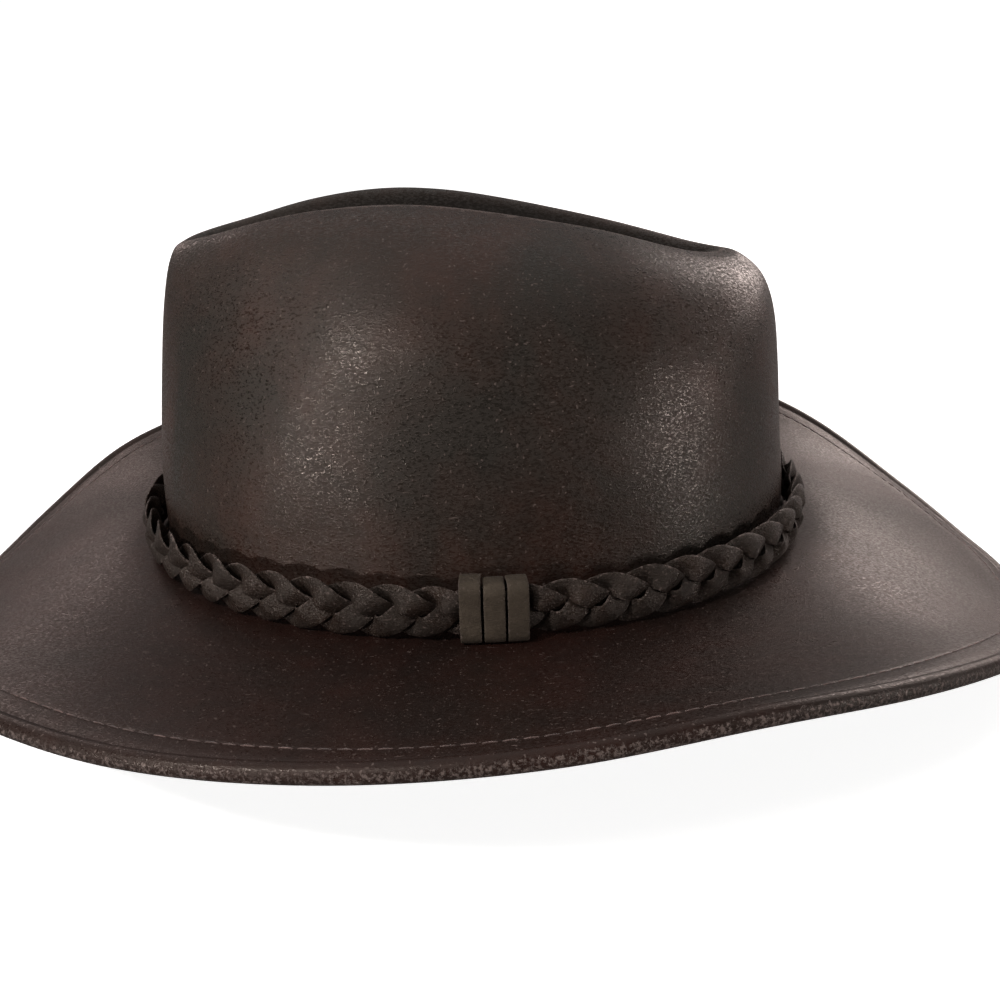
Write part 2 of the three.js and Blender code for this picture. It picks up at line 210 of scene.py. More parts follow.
class BushHatSizes(bpy.types.PropertyGroup):
    """Sizes of the leather and the trim"""

    crown_wall: length("Crown wall", "Thickness of the crown's leather", 2.0 * MM)
    brim_wall: length("Brim wall", "Thickness of the brim's leather", 2.2 * MM)
    hem_wall: length("Hem wall", "Thickness of the turned hem", 1.6 * MM)
    foot_height: length("Foot height", "Height of the crown's curved foot", 9.3 * MM)
    flange_reach: length("Flange reach", "How far the crown's foot turns out", 2.2 * MM)
    front_lean: length("Front lean", "How far the ridge starts behind the front", 14.5 * MM)
    back_lean: length("Back lean", "How far the ridge ends before the back", 21.5 * MM)
    crease_setback: length("Crease setback", "How far the crease ends inside the ridge", 19.6 * MM)
    edge_radius: length("Edge radius", "Radius of the brim's rolled edge", 2.5 * MM)
    hem_reach: length("Hem reach", "Width of the turned hem", 10.0 * MM)
    squash_depth: length("Squash depth", "How far the edge flattens where it rests", 0.6 * MM)
    rest_gap: length("Rest gap", "Gap between pieces that touch", 0.3 * MM)
    braid_height: length("Braid height", "Height of the braided band", 16.2 * MM)
    lace_width: length("Lace width", "Width of one lace of the braid", 7.3 * MM)
    lace_thickness: length("Lace thickness", "Thickness of one lace of the braid", 1.8 * MM)
    wrap_wall: length("Keeper wall", "Thickness of the keeper's leather", 1.2 * MM)
    wrap_width: length("Keeper strip", "Width of one strip of the keeper", 5.7 * MM)
    wrap_gap: length("Keeper gap", "Gap between the keeper's strips", 0.45 * MM)
    stitch_pitch: length("Stitch pitch", "Spacing of the stitches", 4.4 * MM)
    stitch_length: length("Stitch length", "Length of a stitch that shows", 3.7 * MM)
    thread_radius: length("Thread radius", "Radius of the sewing thread", 0.21 * MM)


class BushHatColours(bpy.types.PropertyGroup):
    """Colours of the leather, the thread and the studio"""

    crown_cool: colour("Crown, cool", "Grey-brown patches of the crown", (0.0185, 0.0155, 0.0125))
    crown_warm: colour("Crown, warm", "Red-brown patches of the crown", (0.0430, 0.0185, 0.0130))
    brim_cool: colour("Brim, cool", "Darker patches of the brim", (0.0130, 0.0078, 0.0062))
    brim_warm: colour("Brim, warm", "Red-brown patches of the brim", (0.0300, 0.0115, 0.0085))
    band_cool: colour("Band, cool", "Darker patches of the laces", (0.0150, 0.0105, 0.0080))
    band_warm: colour("Band, warm", "Lighter patches of the laces", (0.0330, 0.0205, 0.0155))
    keeper_cool: colour("Keeper, cool", "Darker patches of the keeper", (0.0560, 0.0430, 0.0310))
    keeper_warm: colour("Keeper, warm", "Lighter patches of the keeper", (0.0850, 0.0660, 0.0480))
    worn: colour("Worn leather", "Rubbed edges", (0.150, 0.112, 0.100))
    thread: colour("Thread", "Sewing thread of the hem", (0.200, 0.125, 0.110))
    floor: colour("Floor", "The studio's floor", (0.92, 0.92, 0.92))


def hat_form(sizes):
    """The hat's form: sizes read from the frame, and those that follow from the user's sizes."""
    hat = SimpleNamespace(sizes=sizes)
    hat.foot = CROWN_LOW.z
    hat.height = CROWN_HIGH.z - CROWN_LOW.z
    hat.half_length = CROWN_HIGH.y - sizes.flange_reach
    hat.half_width = CROWN_HIGH.x - sizes.flange_reach
    hat.ridge_length = hat.half_length - (sizes.front_lean + sizes.back_lean) / 2
    hat.ridge_shift = (sizes.front_lean - sizes.back_lean) / 2
    hat.crease_length = hat.ridge_length - sizes.crease_setback
    hat.seat = hat.foot - sizes.rest_gap
    hat.rim_length = BRIM_HIGH.y - sizes.edge_radius
    hat.rim_width = BRIM_HIGH.x - sizes.edge_radius
    hat.cover = (sizes.brim_wall + sizes.hem_wall) / 2
    hat.braid_half = sizes.braid_height / 2
    hat.swing = hat.braid_half - sizes.lace_width / 2
    hat.depth = sizes.lace_thickness * BRAID_DEPTH
    hat.keeper_inner = hat.depth + sizes.lace_thickness / 2 + sizes.rest_gap
    hat.keeper_outer = hat.keeper_inner + sizes.wrap_wall
    hat.inner_length = hat.half_length - sizes.crown_wall + sizes.rest_gap
    hat.inner_width = hat.half_width - sizes.crown_wall + sizes.rest_gap
    hat.seat_width = sizes.crown_wall + sizes.flange_reach + 2 * hat.keeper_outer
    trim = sizes.flange_reach + sizes.rest_gap
    hat.band_length = hat.half_length + trim + hat.depth
    hat.band_width = hat.half_width + trim + hat.keeper_outer
    return hat


def mirrored(angle):
    """The same place on the wearer's left, for an angle on either side."""
    turn = angle % 360
    return 360 - turn if turn > 180 else turn


def look_up(table, key, column, at):
    """Smooth value of a column at a key, level at both ends of the table."""
    last = len(table) - 1

    def slope(index):
        if index in (0, last):
            return 0.0
        before, after = table[index - 1], table[index + 1]
        return (after[column] - before[column]) / (after[key] - before[key])

    upper = next((index for index, row in enumerate(table) if row[key] >= at), last)
    upper = max(1, upper)
    low, high = table[upper - 1], table[upper]
    span = high[key] - low[key]
    share = min(1.0, max(0.0, (at - low[key]) / span))
    square = share * share
    cube = square * share
    return (
        (2 * cube - 3 * square + 1) * low[column]
        + (cube - 2 * square + share) * span * slope(upper - 1)
        + (3 * square - 2 * cube) * high[column]
        + (cube - square) * span * slope(upper)
    )


def oval(half_length, half_width, shift, angle, height):
    """Point of an oval in plan, at an angle round the hat."""
    turn = math.radians(angle)
    return Vector((half_width * math.sin(turn), shift + half_length * math.cos(turn), height))


def smooth_share(value, low, high):
    """0 below low, 1 above high and a smooth step between."""
    share = min(1.0, max(0.0, (value - low) / (high - low)))
    return share * share * (3 - 2 * share)


def new_mesh():
    """An empty mesh whose points carry how worn they are, or below 0 how deep the painted shade of a
    hollow is.
    """
    mesh = bmesh.new()
    mesh.verts.layers.float.new("wear")
    return mesh


def loft(mesh, rings, wear=None, closed=False, caps=False):
    """Skins rings of points: the first is a circle, and each next one is extruded from the last."""
    layer = mesh.verts.layers.float["wear"]
    count = len(rings[0])
    ring = bmesh.ops.create_circle(mesh, segments=count, radius=1.0)["verts"]
    ends = []
    for place, points in enumerate(rings):
        edges = [mesh.edges.get((ring[spot], ring[(spot + 1) % count])) for spot in range(count)]
        if place == 0:
            ends.append(edges)
        else:
            made = set(bmesh.ops.extrude_edge_only(mesh, edges=edges)["geom"])
            ring = [
                next(edge.other_vert(vert) for edge in vert.link_edges
                     if edge.other_vert(vert) in made)
                for vert in ring
            ]
        for spot, (vert, point) in enumerate(zip(ring, points)):
            vert.co = point
            vert[layer] = wear(place, spot) if wear else 0.0
    ends.append(
        [mesh.edges.get((ring[spot], ring[(spot + 1) % count])) for spot in range(count)]
    )
    if closed:
        bmesh.ops.bridge_loops(mesh, edges=ends[0] + ends[1])
    if caps:
        for edges in ends:
            bmesh.ops.contextual_create(mesh, geom=edges)
    return mesh


def finish_piece(mesh, name, material, nodes=(), wall=0.0, levels=1):
    """Turns a bmesh into a piece of the hat that rides on its body."""
    bmesh.ops.recalc_face_normals(mesh, faces=mesh.faces[:])
    data = bpy.data.meshes.new(name)
    mesh.to_mesh(data)
    mesh.free()
    data.shade_smooth()
    data.materials.append(material)
    piece = bpy.data.objects.new(name, data)
    bpy.context.scene.collection.objects.link(piece)
    if wall:
        solid = piece.modifiers.new("Wall", "SOLIDIFY")
        solid.thickness = wall
        solid.offset = -1
        solid.use_even_offset = True
        solid.use_quality_normals = True
    if levels:
        smooth = piece.modifiers.new("Smooth", "SUBSURF")
        smooth.levels = smooth.render_levels = levels
    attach(piece, "root")
    if nodes:
        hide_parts(*nodes)
    return piece


def node(tree, kind, inputs=None, **settings):
    """A shader node with its settings, its inputs given as values or as sockets to link."""
    made = tree.nodes.new(kind)
    for name, value in settings.items():
        setattr(made, name, value)
    for name, value in (inputs or {}).items():
        if isinstance(value, bpy.types.NodeSocket):
            tree.links.new(value, made.inputs[name])
        else:
            made.inputs[name].default_value = value
    return made


def cleared_tree(owner):
    """The node tree of a new material or world, without its first nodes."""
    owner.use_nodes = True
    owner.node_tree.nodes.clear()
    return owner.node_tree


def calculate(tree, operation, first, second=0.0):
    """A math node's result."""
    return node(tree, "ShaderNodeMath", {0: first, 1: second}, operation=operation).outputs[0]


def remap(tree, value, low, high, to_low=0.0, to_high=1.0):
    """A value taken from one range to another, clamped."""
    inputs = {"Value": value, "From Min": low, "From Max": high, "To Min": to_low, "To Max": to_high}
    return node(tree, "ShaderNodeMapRange", inputs).outputs["Result"]


def blend(tree, factor, first, second):
    """A mix of two colours."""
    mixed = node(tree, "ShaderNodeMix", {0: factor}, data_type="RGBA")
    for place, value in ((6, first), (7, second)):
        if isinstance(value, bpy.types.NodeSocket):
            tree.links.new(value, mixed.inputs[place])
        else:
            mixed.inputs[place].default_value = (*value, 1.0)
    return mixed.outputs[2]


def grain(tree, place, scale, detail=2.0, rough=0.5, twist=0.0):
    """A noise texture's value."""
    inputs = {"Vector": place, "Scale": scale, "Detail": detail, "Roughness": rough,
              "Distortion": twist}
    return node(tree, "ShaderNodeTexNoise", inputs).outputs["Fac"]


def new_group(name, inputs, outputs):
    """A shader node group with named float sockets, and its input and output nodes."""
    group = bpy.data.node_groups.new(name, "ShaderNodeTree")
    for title, default in inputs.items():
        socket = group.interface.new_socket(
            name=title, in_out="INPUT", socket_type="NodeSocketFloat"
        )
        socket.default_value = default
    for title in outputs:
        group.interface.new_socket(name=title, in_out="OUTPUT", socket_type="NodeSocketFloat")
    return group, node(group, "NodeGroupInput").outputs, node(group, "NodeGroupOutput").inputs


def nap_group():
    """Oiled leather's nap: its fine grain, its patches, its light specks and its scratches."""
    found = bpy.data.node_groups.get("Leather nap")
    if found:
        return found
    group, given, out = new_group(
        "Leather nap",
        {"Grain Scale": 1700.0, "Patch Scale": 17.0, "Speck Level": 0.72},
        ("Height", "Fleck", "Patch", "Cloud", "Speck"),
    )
    place = node(group, "ShaderNodeTexCoord").outputs["Object"]
    long = node(group, "ShaderNodeMapping", {"Vector": place, "Scale": (1.0, 0.55, 1.25)})
    fine = grain(group, long.outputs[0], given["Grain Scale"], detail=3.0, rough=0.62, twist=0.6)
    group.links.new(fine, out["Fleck"])
    coarse_scale = calculate(group, "MULTIPLY", given["Grain Scale"], 0.42)
    coarse = grain(group, long.outputs[0], coarse_scale, detail=2.0)
    pores = node(
        group, "ShaderNodeTexVoronoi", {"Vector": place, "Scale": coarse_scale}, feature="F1"
    ).outputs["Distance"]
    bumps = calculate(group, "MULTIPLY_ADD", fine, 0.8)
    low = calculate(group, "ADD", calculate(group, "MULTIPLY", coarse, 0.16),
                    calculate(group, "MULTIPLY", pores, 0.12))
    group.links.new(low, bumps.node.inputs[2])
    group.links.new(bumps, out["Height"])

    patches = grain(group, place, given["Patch Scale"], detail=4.0, rough=0.58, twist=0.5)
    group.links.new(remap(group, patches, 0.36, 0.66), out["Patch"])
    cloud_scale = calculate(group, "MULTIPLY", given["Patch Scale"], 5.5)
    clouds = grain(group, place, cloud_scale, detail=5.0, rough=0.66)
    group.links.new(remap(group, clouds, 0.32, 0.7), out["Cloud"])

    spots = grain(group, place, 1300.0, detail=0.0)
    level = given["Speck Level"]
    dots = remap(group, spots, level, calculate(group, "ADD", level, 0.05))
    stroke = node(group, "ShaderNodeMapping", {"Vector": place, "Scale": (1.0, 0.22, 1.0)})
    strokes = grain(group, stroke.outputs[0], 1500.0, detail=0.0)
    lines = remap(group, strokes, 0.8, 0.84, 0.0, 0.7)
    group.links.new(calculate(group, "MAXIMUM", dots, lines), out["Speck"])
    return group


def rub_and_shade_group():
    """Rubbed edges, broken up by the leather's grain, and the painted shade in hollows where wear is below
    0.
    """
    found = bpy.data.node_groups.get("Rubbed edge")
    if found:
        return found
    group, given, out = new_group("Rubbed edge", {"Rub Scale": 380.0, "Rub Level": 0.5}, ("Rub", "Hollow"))
    place = node(group, "ShaderNodeTexCoord").outputs["Object"]
    wear = node(group, "ShaderNodeAttribute", attribute_name="wear").outputs["Fac"]
    # Below 0 the wear attribute gives a painted shade, deeper the lower it is.
    group.links.new(remap(group, wear, 0.0, -1.0), out["Hollow"])
    breaks = grain(group, place, given["Rub Scale"], detail=4.0, rough=0.7)
    swings = remap(group, breaks, 0.3, 0.7, -0.4, 0.4)
    reach = calculate(group, "ADD", calculate(group, "MULTIPLY", wear, 0.5), swings)
    low = given["Rub Level"]
    high = calculate(group, "ADD", low, 0.25)
    group.links.new(remap(group, reach, low, high), out["Rub"])
    return group


# Browns as shares of the cool one: a dark one for the clouds and a very dark one for the painted shade in
# hollows. Then how far clouds darken the leather, the range of its grain that makes flecks, the shine of
# the brightest and the dullness of the painted shade.
DARK_SHARE, PAINTED_SHADE_SHARE = 0.62, 0.12
CLOUD_MIX = 0.55
FLECK_FROM, FLECK_TO, FLECK_SHINE = 0.42, 0.6, -0.14
PAINTED_SHADE_DULL = 0.5
GLOSS_TINT = (1.0, 0.86, 0.78, 1.0)
SHEEN_TINT = (1.0, 0.9, 0.85, 1.0)


def leather(name, cool, warm, worn, look):
    """A leather material from its two browns, the colour of its rubbed edges and its look."""
    material = bpy.data.materials.new(name)
    tree = cleared_tree(material)
    nap = node(
        tree, "ShaderNodeGroup",
        {"Grain Scale": look["grain"], "Patch Scale": look["patch"], "Speck Level": look["speck"]},
        node_tree=nap_group(),
    ).outputs
    rub_and_shade = node(
        tree, "ShaderNodeGroup", {"Rub Scale": look["rub"], "Rub Level": look["rub_level"]},
        node_tree=rub_and_shade_group(),
    ).outputs
    rub = rub_and_shade["Rub"]
    browns = blend(tree, nap["Patch"], cool, warm)
    dark = [part * DARK_SHARE for part in cool]
    clouded = blend(tree, remap(tree, nap["Cloud"], 0.0, 1.0, CLOUD_MIX, 0.0), browns, dark)
    specked = blend(tree, calculate(tree, "MULTIPLY", nap["Speck"], look["speck_mix"]), clouded, worn)
    # Rubbed places take the worn colour. Along the crown's ridge this is partly a painted highlight.
    marked = blend(tree, calculate(tree, "MULTIPLY", rub, look["rub_mix"]), specked, worn)
    # Painted shade: hollows are mixed towards a very dark brown.
    base = blend(tree, rub_and_shade["Hollow"], marked, [part * PAINTED_SHADE_SHARE for part in cool])
    smoother = remap(tree, nap["Patch"], 0.0, 1.0, look["rough_cool"], look["rough_warm"])
    flecks = remap(tree, nap["Fleck"], FLECK_FROM, FLECK_TO, look["fleck"], FLECK_SHINE)
    dull = calculate(tree, "MULTIPLY", rub_and_shade["Hollow"], PAINTED_SHADE_DULL)
    rough = calculate(tree, "ADD", smoother, calculate(tree, "ADD", flecks, dull))
    height = calculate(tree, "MULTIPLY_ADD", rub, look["rub_bump"])
    tree.links.new(nap["Height"], height.node.inputs[2])
    bump = node(
        tree, "ShaderNodeBump", {"Height": height, "Strength": 1.0, "Distance": look["bump_depth"]}
    ).outputs["Normal"]
    shader = node(
        tree, "ShaderNodeBsdfPrincipled",
        {"Base Color": base, "Roughness": rough, "Normal": bump,
         "Specular IOR Level": look["gloss"], "Specular Tint": GLOSS_TINT,
         "Sheen Weight": look["sheen"], "Sheen Roughness": 0.45, "Sheen Tint": SHEEN_TINT},
    )
    node(tree, "ShaderNodeOutputMaterial", {"Surface": shader.outputs[0]})
    return material


# Looks of each leather: sizes and levels of its grain, patches, specks and rubbed edges, its
# roughness in cool and warm patches, how much its flecks add to that, its gloss, sheen and bump.
LOOKS = rows(
    "part grain patch speck speck_mix rub rub_level rub_mix rub_bump "
    "rough_cool rough_warm fleck gloss sheen bump_depth",
    ("crown", 1500.0, 21.0, 0.76, 0.6, 420.0, 0.42, 0.6, 0.0, 0.28, 0.21, 0.42, 0.5, 0.0, 0.00022),
    ("brim", 1900.0, 19.0, 0.745, 0.7, 900.0, 0.44, 1.0, 1.6, 0.45, 0.39, 0.16, 0.4, 0.0, 0.00011),
    ("band", 1900.0, 90.0, 0.72, 0.5, 700.0, 0.41, 1.0, 0.3, 0.5, 0.2, 0.22, 0.45, 0.0, 0.0005),
    ("keeper", 1900.0, 120.0, 0.75, 0.35, 900.0, 0.42, 0.8, 0.3, 0.66, 0.58, 0.1, 0.3, 0.05, 0.0004),
)


def leather_for(scene, part):
    """The leather of one part of the hat, made once."""
    found = bpy.data.materials.get(part + " leather")
    if found:
        return found
    colours = scene.bush_hat_colours
    cool, warm = getattr(colours, part + "_cool"), getattr(colours, part + "_warm")
    look = next(row for row in LOOKS if row["part"] == part)
    return leather(part + " leather", tuple(cool), tuple(warm), tuple(colours.worn), look)


def thread_material(scene):
    """Twisted sewing thread, a little soiled."""
    material = bpy.data.materials.new("sewing thread")
    tree = cleared_tree(material)
    place = node(tree, "ShaderNodeTexCoord").outputs["Object"]
    soil = remap(tree, grain(tree, place, 160.0, detail=3.0), 0.35, 0.65)
    clean = tuple(scene.bush_hat_colours.thread)
    base = blend(tree, soil, [part * 0.35 for part in clean], clean)
    twist = grain(tree, place, 3200.0, detail=1.0)
    bump = node(tree, "ShaderNodeBump", {"Height": twist, "Strength": 0.7, "Distance": 0.0001})
    shader = node(
        tree, "ShaderNodeBsdfPrincipled",
        {"Base Color": base, "Normal": bump.outputs["Normal"], "Roughness": 0.6,
         "Sheen Weight": 0.2},
    )
    node(tree, "ShaderNodeOutputMaterial", {"Surface": shader.outputs[0]})
    return material


# The crown: its columns, its slow and quick ripples, and the shares of its height between which they
# start. Then the rings over which the ridge is rubbed and lightened, partly as a painted highlight, and
# how much, and the rings below the ridge between which a painted shade darkens the crease.
CROWN_COLUMNS = 112
CROWN_RIPPLE = 0.42 * MM
RIPPLE_SIZE = 34 * MM
QUICK_SIZE, QUICK_SHARE = 0.42 * RIPPLE_SIZE, 0.3
RIPPLES_START = (0.16, 0.34)
RIDGE_RINGS, RIDGE_RUB_AND_HIGHLIGHT = 1.1, 1.8
PAINTED_SHADE_FROM, PAINTED_SHADE_TO = 1.5, 4.5


def dent_depth(hat, point):
    """How far a point of the crown's wall is pressed in."""
    total = 0.0
    for dent in DENT_TABLE:
        if dent["side"] * point.x < 0:
            continue
        along = point.y - dent["along"] * hat.half_length
        rise = point.z - hat.foot - dent["height"] * hat.height
        radius = dent["radius"] * hat.half_width
        depth = dent["depth"] * hat.half_width
        total += depth * math.exp(-(along * along + rise * rise) / (radius * radius))
    return total


def crown_rings(hat):
    """Rings of the crown's outer face, from its foot up to the ridge and down into the crease."""
    sizes = hat.sizes
    angles = [360 * column / CROWN_COLUMNS for column in range(CROWN_COLUMNS)]
    rings = []
    for foot in FOOT_TABLE:
        reach = foot["reach"] * sizes.flange_reach
        rise = sizes.crown_wall + foot["rise"] * (sizes.foot_height - sizes.crown_wall)
        rings.append([
            oval(hat.half_length + reach, hat.half_width + reach, 0, angle, hat.foot + rise)
            for angle in angles
        ])

    ridge = []
    for angle in angles:
        turn = mirrored(angle)
        across = hat.half_width * look_up(RIDGE_TABLE, "angle", "spacing", turn)
        height = hat.foot + hat.height * look_up(RIDGE_TABLE, "angle", "ridge", turn)
        point = oval(hat.ridge_length, 0, hat.ridge_shift, angle, height)
        wave = math.sin(math.radians(angle))
        point.x = across * math.copysign(math.sqrt(abs(wave)), wave)
        ridge.append(point)

    foot_top = hat.foot + sizes.foot_height
    for level in WALL_LEVELS:
        inward = {
            part: look_up(WALL_TABLE, "height", part, level) for part in ("front", "side", "back")
        }
        ring = []
        for angle, top in zip(angles, ridge):
            turn = math.radians(angle)
            end = inward["back"] if math.cos(turn) > 0 else inward["front"]
            share = end + (inward["side"] - end) * math.sin(turn) ** 2
            foot = oval(hat.half_length, hat.half_width, 0, angle, foot_top)
            point = foot.lerp(top, share)
            point.z = foot.z + (top.z - foot.z) * level
            depth = (1 - level ** DENT_FADE) * dent_depth(hat, point)
            point.x -= math.copysign(min(abs(point.x), depth), point.x)
            ring.append(point)
        rings.append(ring)

    for level in CREASE_LEVELS:
        down = look_up(CREASE_TABLE, "inward", "down", level)
        ring = []
        for angle, top in zip(angles, ridge):
            height = hat.foot + hat.height * look_up(RIDGE_TABLE, "angle", "floor", mirrored(angle))
            floor = oval(hat.crease_length, 0, hat.ridge_shift, angle, height)
            point = top.lerp(floor, level)
            point.z = top.z + (floor.z - top.z) * down
            ring.append(point)
        rings.append(ring)
    return rings


def ripple_crown(mesh, hat):
    """Moves the crown's points along their normals by slow, shallow ripples."""
    mesh.normal_update()
    for vert in mesh.verts:
        rise = (vert.co.z - hat.foot) / hat.height
        fade = smooth_share(rise, *RIPPLES_START)
        slow = noise.noise(vert.co / RIPPLE_SIZE)
        quick = noise.noise(vert.co / QUICK_SIZE)
        vert.co += vert.normal * fade * CROWN_RIPPLE * (slow + QUICK_SHARE * quick)


def edge_middle(hat, angle):
    """Height of the middle of the rolled edge at an angle."""
    radius = hat.sizes.edge_radius
    height = hat.seat * look_up(EDGE_TABLE, "angle", "height", mirrored(angle))
    return max(height, 0.0) + radius - hat.sizes.squash_depth * math.exp(-height / radius)


# The brim: its columns, its slow ripples, and the shares of its width over which they start and end.
BRIM_COLUMNS = 160
BRIM_RIPPLE = 0.7 * MM
BRIM_RIPPLE_SIZE = 58 * MM
BRIM_RIPPLES_START, BRIM_RIPPLES_END = (0.1, 0.45), (0.72, 0.98)


class BrimLine:
    """The brim's section at one angle round the hat: its way out and its upper face."""

    def __init__(self, hat, angle):
        self.hat = hat
        inner = oval(hat.inner_length, hat.inner_width, 0, angle, 0)
        width = hat.seat_width
        self.seat = oval(hat.inner_length + width, hat.inner_width + width, 0, angle, 0)
        rim = oval(hat.rim_length, hat.rim_width, 0, angle, 0)
        self.outward = rim - self.seat
        self.reach = self.outward.length
        self.outward.normalize()
        self.back = (self.seat - inner).dot(self.outward)
        self.middle = edge_middle(hat, angle)
        self.fall = self.middle + hat.cover - hat.seat
        self.tilt = math.atan(self.fall * BRIM_CURL / self.reach)

    def face(self, share):
        """Out, up and tilt of the upper face, at a share of the way to the bead's middle."""
        slope = self.fall * BRIM_CURL * share ** (BRIM_CURL - 1) / self.reach
        return share * self.reach, self.hat.seat + self.fall * share ** BRIM_CURL, math.atan(slope)

    def edge(self, out, up):
        """Out and up of a point that is given from the bead's middle."""
        cosine, sine = math.cos(self.tilt), math.sin(self.tilt)
        return self.reach + out * cosine - up * sine, self.middle + out * sine + up * cosine

    def place(self, out, up):
        """The point of the hat at an out and an up, with the brim's slow ripples."""
        point = self.seat + self.outward * out
        share = out / self.reach
        fade = smooth_share(share, *BRIM_RIPPLES_START)
        fade *= 1 - smooth_share(share, *BRIM_RIPPLES_END)
        wave = noise.noise(Vector((point.x, point.y, 0.3)) / BRIM_RIPPLE_SIZE)
        point.z = max(0.0, up + BRIM_RIPPLE * fade * wave)
        return point


def brim_section(hat, angle):
    """Points round the brim's section, each with how worn it is."""
    sizes = hat.sizes
    line = BrimLine(hat, angle)
    hem_share = (line.reach - sizes.hem_reach) / line.reach
    top = [(-line.back, hat.seat, 0.0), (-line.back * 0.5, hat.seat, 0.0)]
    top += [line.face(station * hem_share) for station in BRIM_STATIONS]
    section = [(out, up, 0.0) for out, up, tilt in top]
    for spot in EDGE_FACE:
        out, up = line.edge(-spot["inward"] * MM, hat.cover + spot["rise"] * MM)
        section.append((out, up, 0.0))
    for turn in ROLL_ANGLES:
        radians = math.radians(turn)
        out, up = line.edge(
            sizes.edge_radius * math.cos(radians), sizes.edge_radius * math.sin(radians)
        )
        scuff = smooth_share(-turn, -SCUFF_FROM - SCUFF_START, -SCUFF_FROM + SCUFF_START)
        scuff *= 1 - smooth_share(-turn, -SCUFF_TO, -SCUFF_TO + SCUFF_END)
        section.append((out, up, scuff))
    for hem in HEM_TABLE:
        section.append((*line.edge(-hem["inward"] * MM, -hat.cover * hem["down"]), 0.0))
    hem_out, hem_up, hem_tilt = top[-1]
    both = sizes.brim_wall + sizes.hem_wall
    for wall, wear in ((both, HEM_WEAR), (sizes.brim_wall + HEM_LIP, LIP_WEAR)):
        out = hem_out + wall * math.sin(hem_tilt) - HEM_SHIFT
        section.append((out, hem_up - wall * math.cos(hem_tilt), wear))
    for out, up, tilt in reversed(top):
        wall = sizes.brim_wall
        section.append((out + wall * math.sin(tilt), up - wall * math.cos(tilt), 0.0))
    return [(line.place(out, up), wear) for out, up, wear in section]


def band_frame(hat, table, share):
    """Point, direction and outward direction of the band at a share of its length."""
    total = table[-1][0]
    at = (share % 1.0) * total
    low, high = 0, len(table) - 1
    while high - low > 1:
        half = (low + high) // 2
        if table[half][0] <= at:
            low = half
        else:
            high = half
    step = (at - table[low][0]) / (table[high][0] - table[low][0])
    angle = table[low][1] + (table[high][1] - table[low][1]) * step
    point = oval(hat.band_length, hat.band_width, 0, angle, hat.foot + hat.braid_half)
    turn = math.radians(angle)
    along = Vector((-hat.band_width * math.cos(turn), hat.band_length * math.sin(turn), 0))
    along.normalize()
    out = along.cross(Vector((0, 0, 1)))
    return point, along, out


# The keeper stands behind the middle of the wearer's left side. There the braid is lower by the
# share of the pinch, and it eases to its full height on both sides.
KEEPER_OFFSET = 6 * MM
KEEPER_PINCH = 0.12
KEEPER_EASE = 22 * MM
KEEPER_CORNER = 2.2 * MM
KEEPER_STEP = 1.4 * MM
KEEPER_SHIFT, KEEPER_PUFF = 0.1 * MM, 0.12 * MM

# The braid: its repeats round the hat, how far its laces go in and out as a share of their
# thickness, and how they lean.
PITCHES = 18
BRAID_DEPTH = 1.14
LACE_LEAN = 0.26
LACE_END_GAP = 0.5 * MM
PATH_STEPS = 1440
STEPS_PER_PITCH = 24

# Unevenness of the laces: the runs that it changes over, and how much it changes.
DRIFT_RUN, TWIST_RUN = 9 * MM, 6 * MM
WIDTH_DRIFT, THICK_DRIFT, LEAN_DRIFT, RISE_DRIFT = 0.05, 0.08, 0.1, 0.22 * MM


def band_table(hat):
    """Length run and angle, in steps round the band from the keeper towards the back."""
    start = math.degrees(math.acos(KEEPER_OFFSET / hat.band_length))
    table = [(0.0, start)]
    before = oval(hat.band_length, hat.band_width, 0, start, 0)
    for step in range(1, PATH_STEPS + 1):
        angle = start - 360 * step / PATH_STEPS
        point = oval(hat.band_length, hat.band_width, 0, angle, 0)
        table.append((table[-1][0] + (point - before).length, angle))
        before = point
    return table


def lace_rings(hat, strand):
    """Rings of one lace of the flat braid, from under the keeper right round to it."""
    sizes = hat.sizes
    table = band_table(hat)
    total = table[-1][0]
    run = total / PITCHES / (2 * math.pi)
    end = LACE_END_GAP / total
    steps = PITCHES * STEPS_PER_PITCH
    up = Vector((0, 0, 1))
    rings = []
    for step in range(steps + 1):
        share = end + (1 - 2 * end) * step / steps
        point, along, out = band_frame(hat, table, share)
        away = min(share, 1 - share) * total
        pinch = math.exp(-((away / KEEPER_EASE) ** 2))
        spread = 1 - KEEPER_PINCH * pinch
        lift = sizes.wrap_wall + sizes.rest_gap - KEEPER_PINCH * hat.braid_half
        phase = 2 * math.pi * (PITCHES * share + strand / 3)
        swing = hat.swing * spread
        climb = swing * math.cos(phase)
        across = (up * run - along * climb).normalized()
        middle = point + up * (pinch * lift + swing * math.sin(phase))
        middle -= out * hat.depth * math.sin(2 * phase)
        free = 1 - pinch
        drift = noise.noise(Vector((share * total / DRIFT_RUN, strand * 7.3, 0.5)))
        half = sizes.lace_width * spread / 2 * (1 + WIDTH_DRIFT * free * drift)
        thick = sizes.lace_thickness / 2 * (1 + THICK_DRIFT * free * drift)
        lean = -LACE_LEAN * math.cos(3 * phase)
        twist = noise.noise(Vector((strand * 3.1, share * total / TWIST_RUN, 2.5)))
        lean += LEAN_DRIFT * free * twist
        middle += up * (RISE_DRIFT * free * drift)
        tilted = across * math.cos(lean) + out * math.sin(lean)
        over = out * math.cos(lean) - across * math.sin(lean)
        rings.append([
            middle + tilted * (spot["across"] * half) + over * (spot["out"] * thick)
            for spot in LACE_OUTLINE
        ])
    return rings


